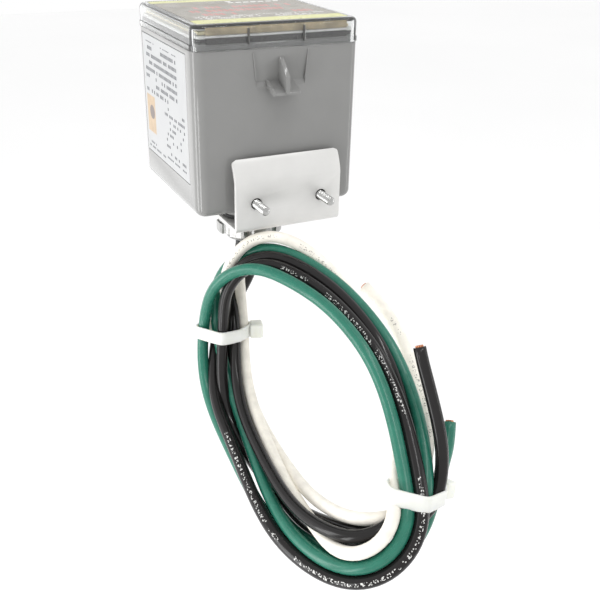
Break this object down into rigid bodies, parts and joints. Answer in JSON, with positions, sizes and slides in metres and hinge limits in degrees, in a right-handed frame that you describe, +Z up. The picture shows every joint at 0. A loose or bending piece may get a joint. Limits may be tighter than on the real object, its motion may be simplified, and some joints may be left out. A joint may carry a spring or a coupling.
{
  "type": "whole house surge protector",
  "caption": "Box-shaped surge protector with a clear cover, a steel mounting bracket with two studs, and a tied coil of four leads.",
  "frame": {"origin": "centre of the bracket's outer mounting face, midway between the two studs", "axes": "+Z up, +X along the bracket, -Y out of the mounting face, along the studs"},
  "size_m": [0.08, 0.2026, 0.1722],
  "materials": {
    "grey_plastic": "satin",
    "clear_plastic": "gloss",
    "rubber": "matte",
    "white_plastic": "satin",
    "card": "matte",
    "top_label": "gloss",
    "label_paper": "satin",
    "bracket_steel": "satin",
    "zinc": "satin",
    "board": "satin",
    "varistor_epoxy": "satin",
    "fuse_ceramic": "matte",
    "capacitor_case": "satin",
    "brass": "satin",
    "green_led": "gloss",
    "white_insulation": "satin",
    "black_insulation": "satin",
    "green_insulation": "satin",
    "copper": "satin",
    "nylon": "satin"
  },
  "bodies": {
    "root": {"base_housing": "grey_plastic", "conduit_nipple": "grey_plastic", "clear_cover": "clear_plastic", "cover_gasket": "rubber", "inner_frame": "white_plastic", "label_card": "card", "top_label": "top_label", "rating_label": "label_paper", "mounting_bracket": "bracket_steel", "stud_left": "zinc", "stud_right": "zinc", "sealing_gasket": "rubber", "circuit_board": "board", "board_screw_1": "zinc", "board_screw_2": "zinc", "board_screw_3": "zinc", "board_screw_4": "zinc", "varistor_1": "varistor_epoxy", "varistor_2": "varistor_epoxy", "varistor_3": "varistor_epoxy", "thermal_fuse_1": "fuse_ceramic", "thermal_fuse_2": "fuse_ceramic", "thermal_fuse_3": "fuse_ceramic", "film_capacitor": "capacitor_case", "terminal_white": "brass", "terminal_black_a": "brass", "terminal_black_b": "brass", "terminal_green": "brass", "indicator_led_1": "green_led", "indicator_led_2": "green_led", "light_pipe_1": "clear_plastic", "light_pipe_2": "clear_plastic", "lead_white": "white_insulation", "lead_black_a": "black_insulation", "lead_black_b": "black_insulation", "lead_green": "green_insulation", "drop_white": "white_insulation", "drop_black_a": "black_insulation", "drop_black_b": "black_insulation", "drop_green": "green_insulation", "lead_coil": "black_insulation", "tail_white": "white_insulation", "tail_black_a": "black_insulation", "tail_black_b": "black_insulation", "tail_green": "green_insulation", "copper_white": "copper", "copper_black_a": "copper", "copper_black_b": "copper", "copper_green": "copper", "cable_tie_left": "nylon", "cable_tie_right": "nylon"},
    "washer": {"bonding_washer": "zinc"},
    "nut": {"locknut": "zinc"}
  },
  "joints": [
    {"name": "washer_slide", "type": "slide", "parent": "root", "child": "washer", "axis": [0, 0, -1], "range_m": [0, 0.00181]},
    {"name": "locknut_turn", "type": "hinge", "parent": "washer", "child": "nut", "pos_m": [-0.0096, 0.0196, -0.0155], "axis": [0, 0, -1], "range_deg": [0, 360]}
  ],
  "couplings": [
    {"joint": "washer_slide", "follows": "locknut_turn", "m_per_rad": 0.0002887}
  ]
}
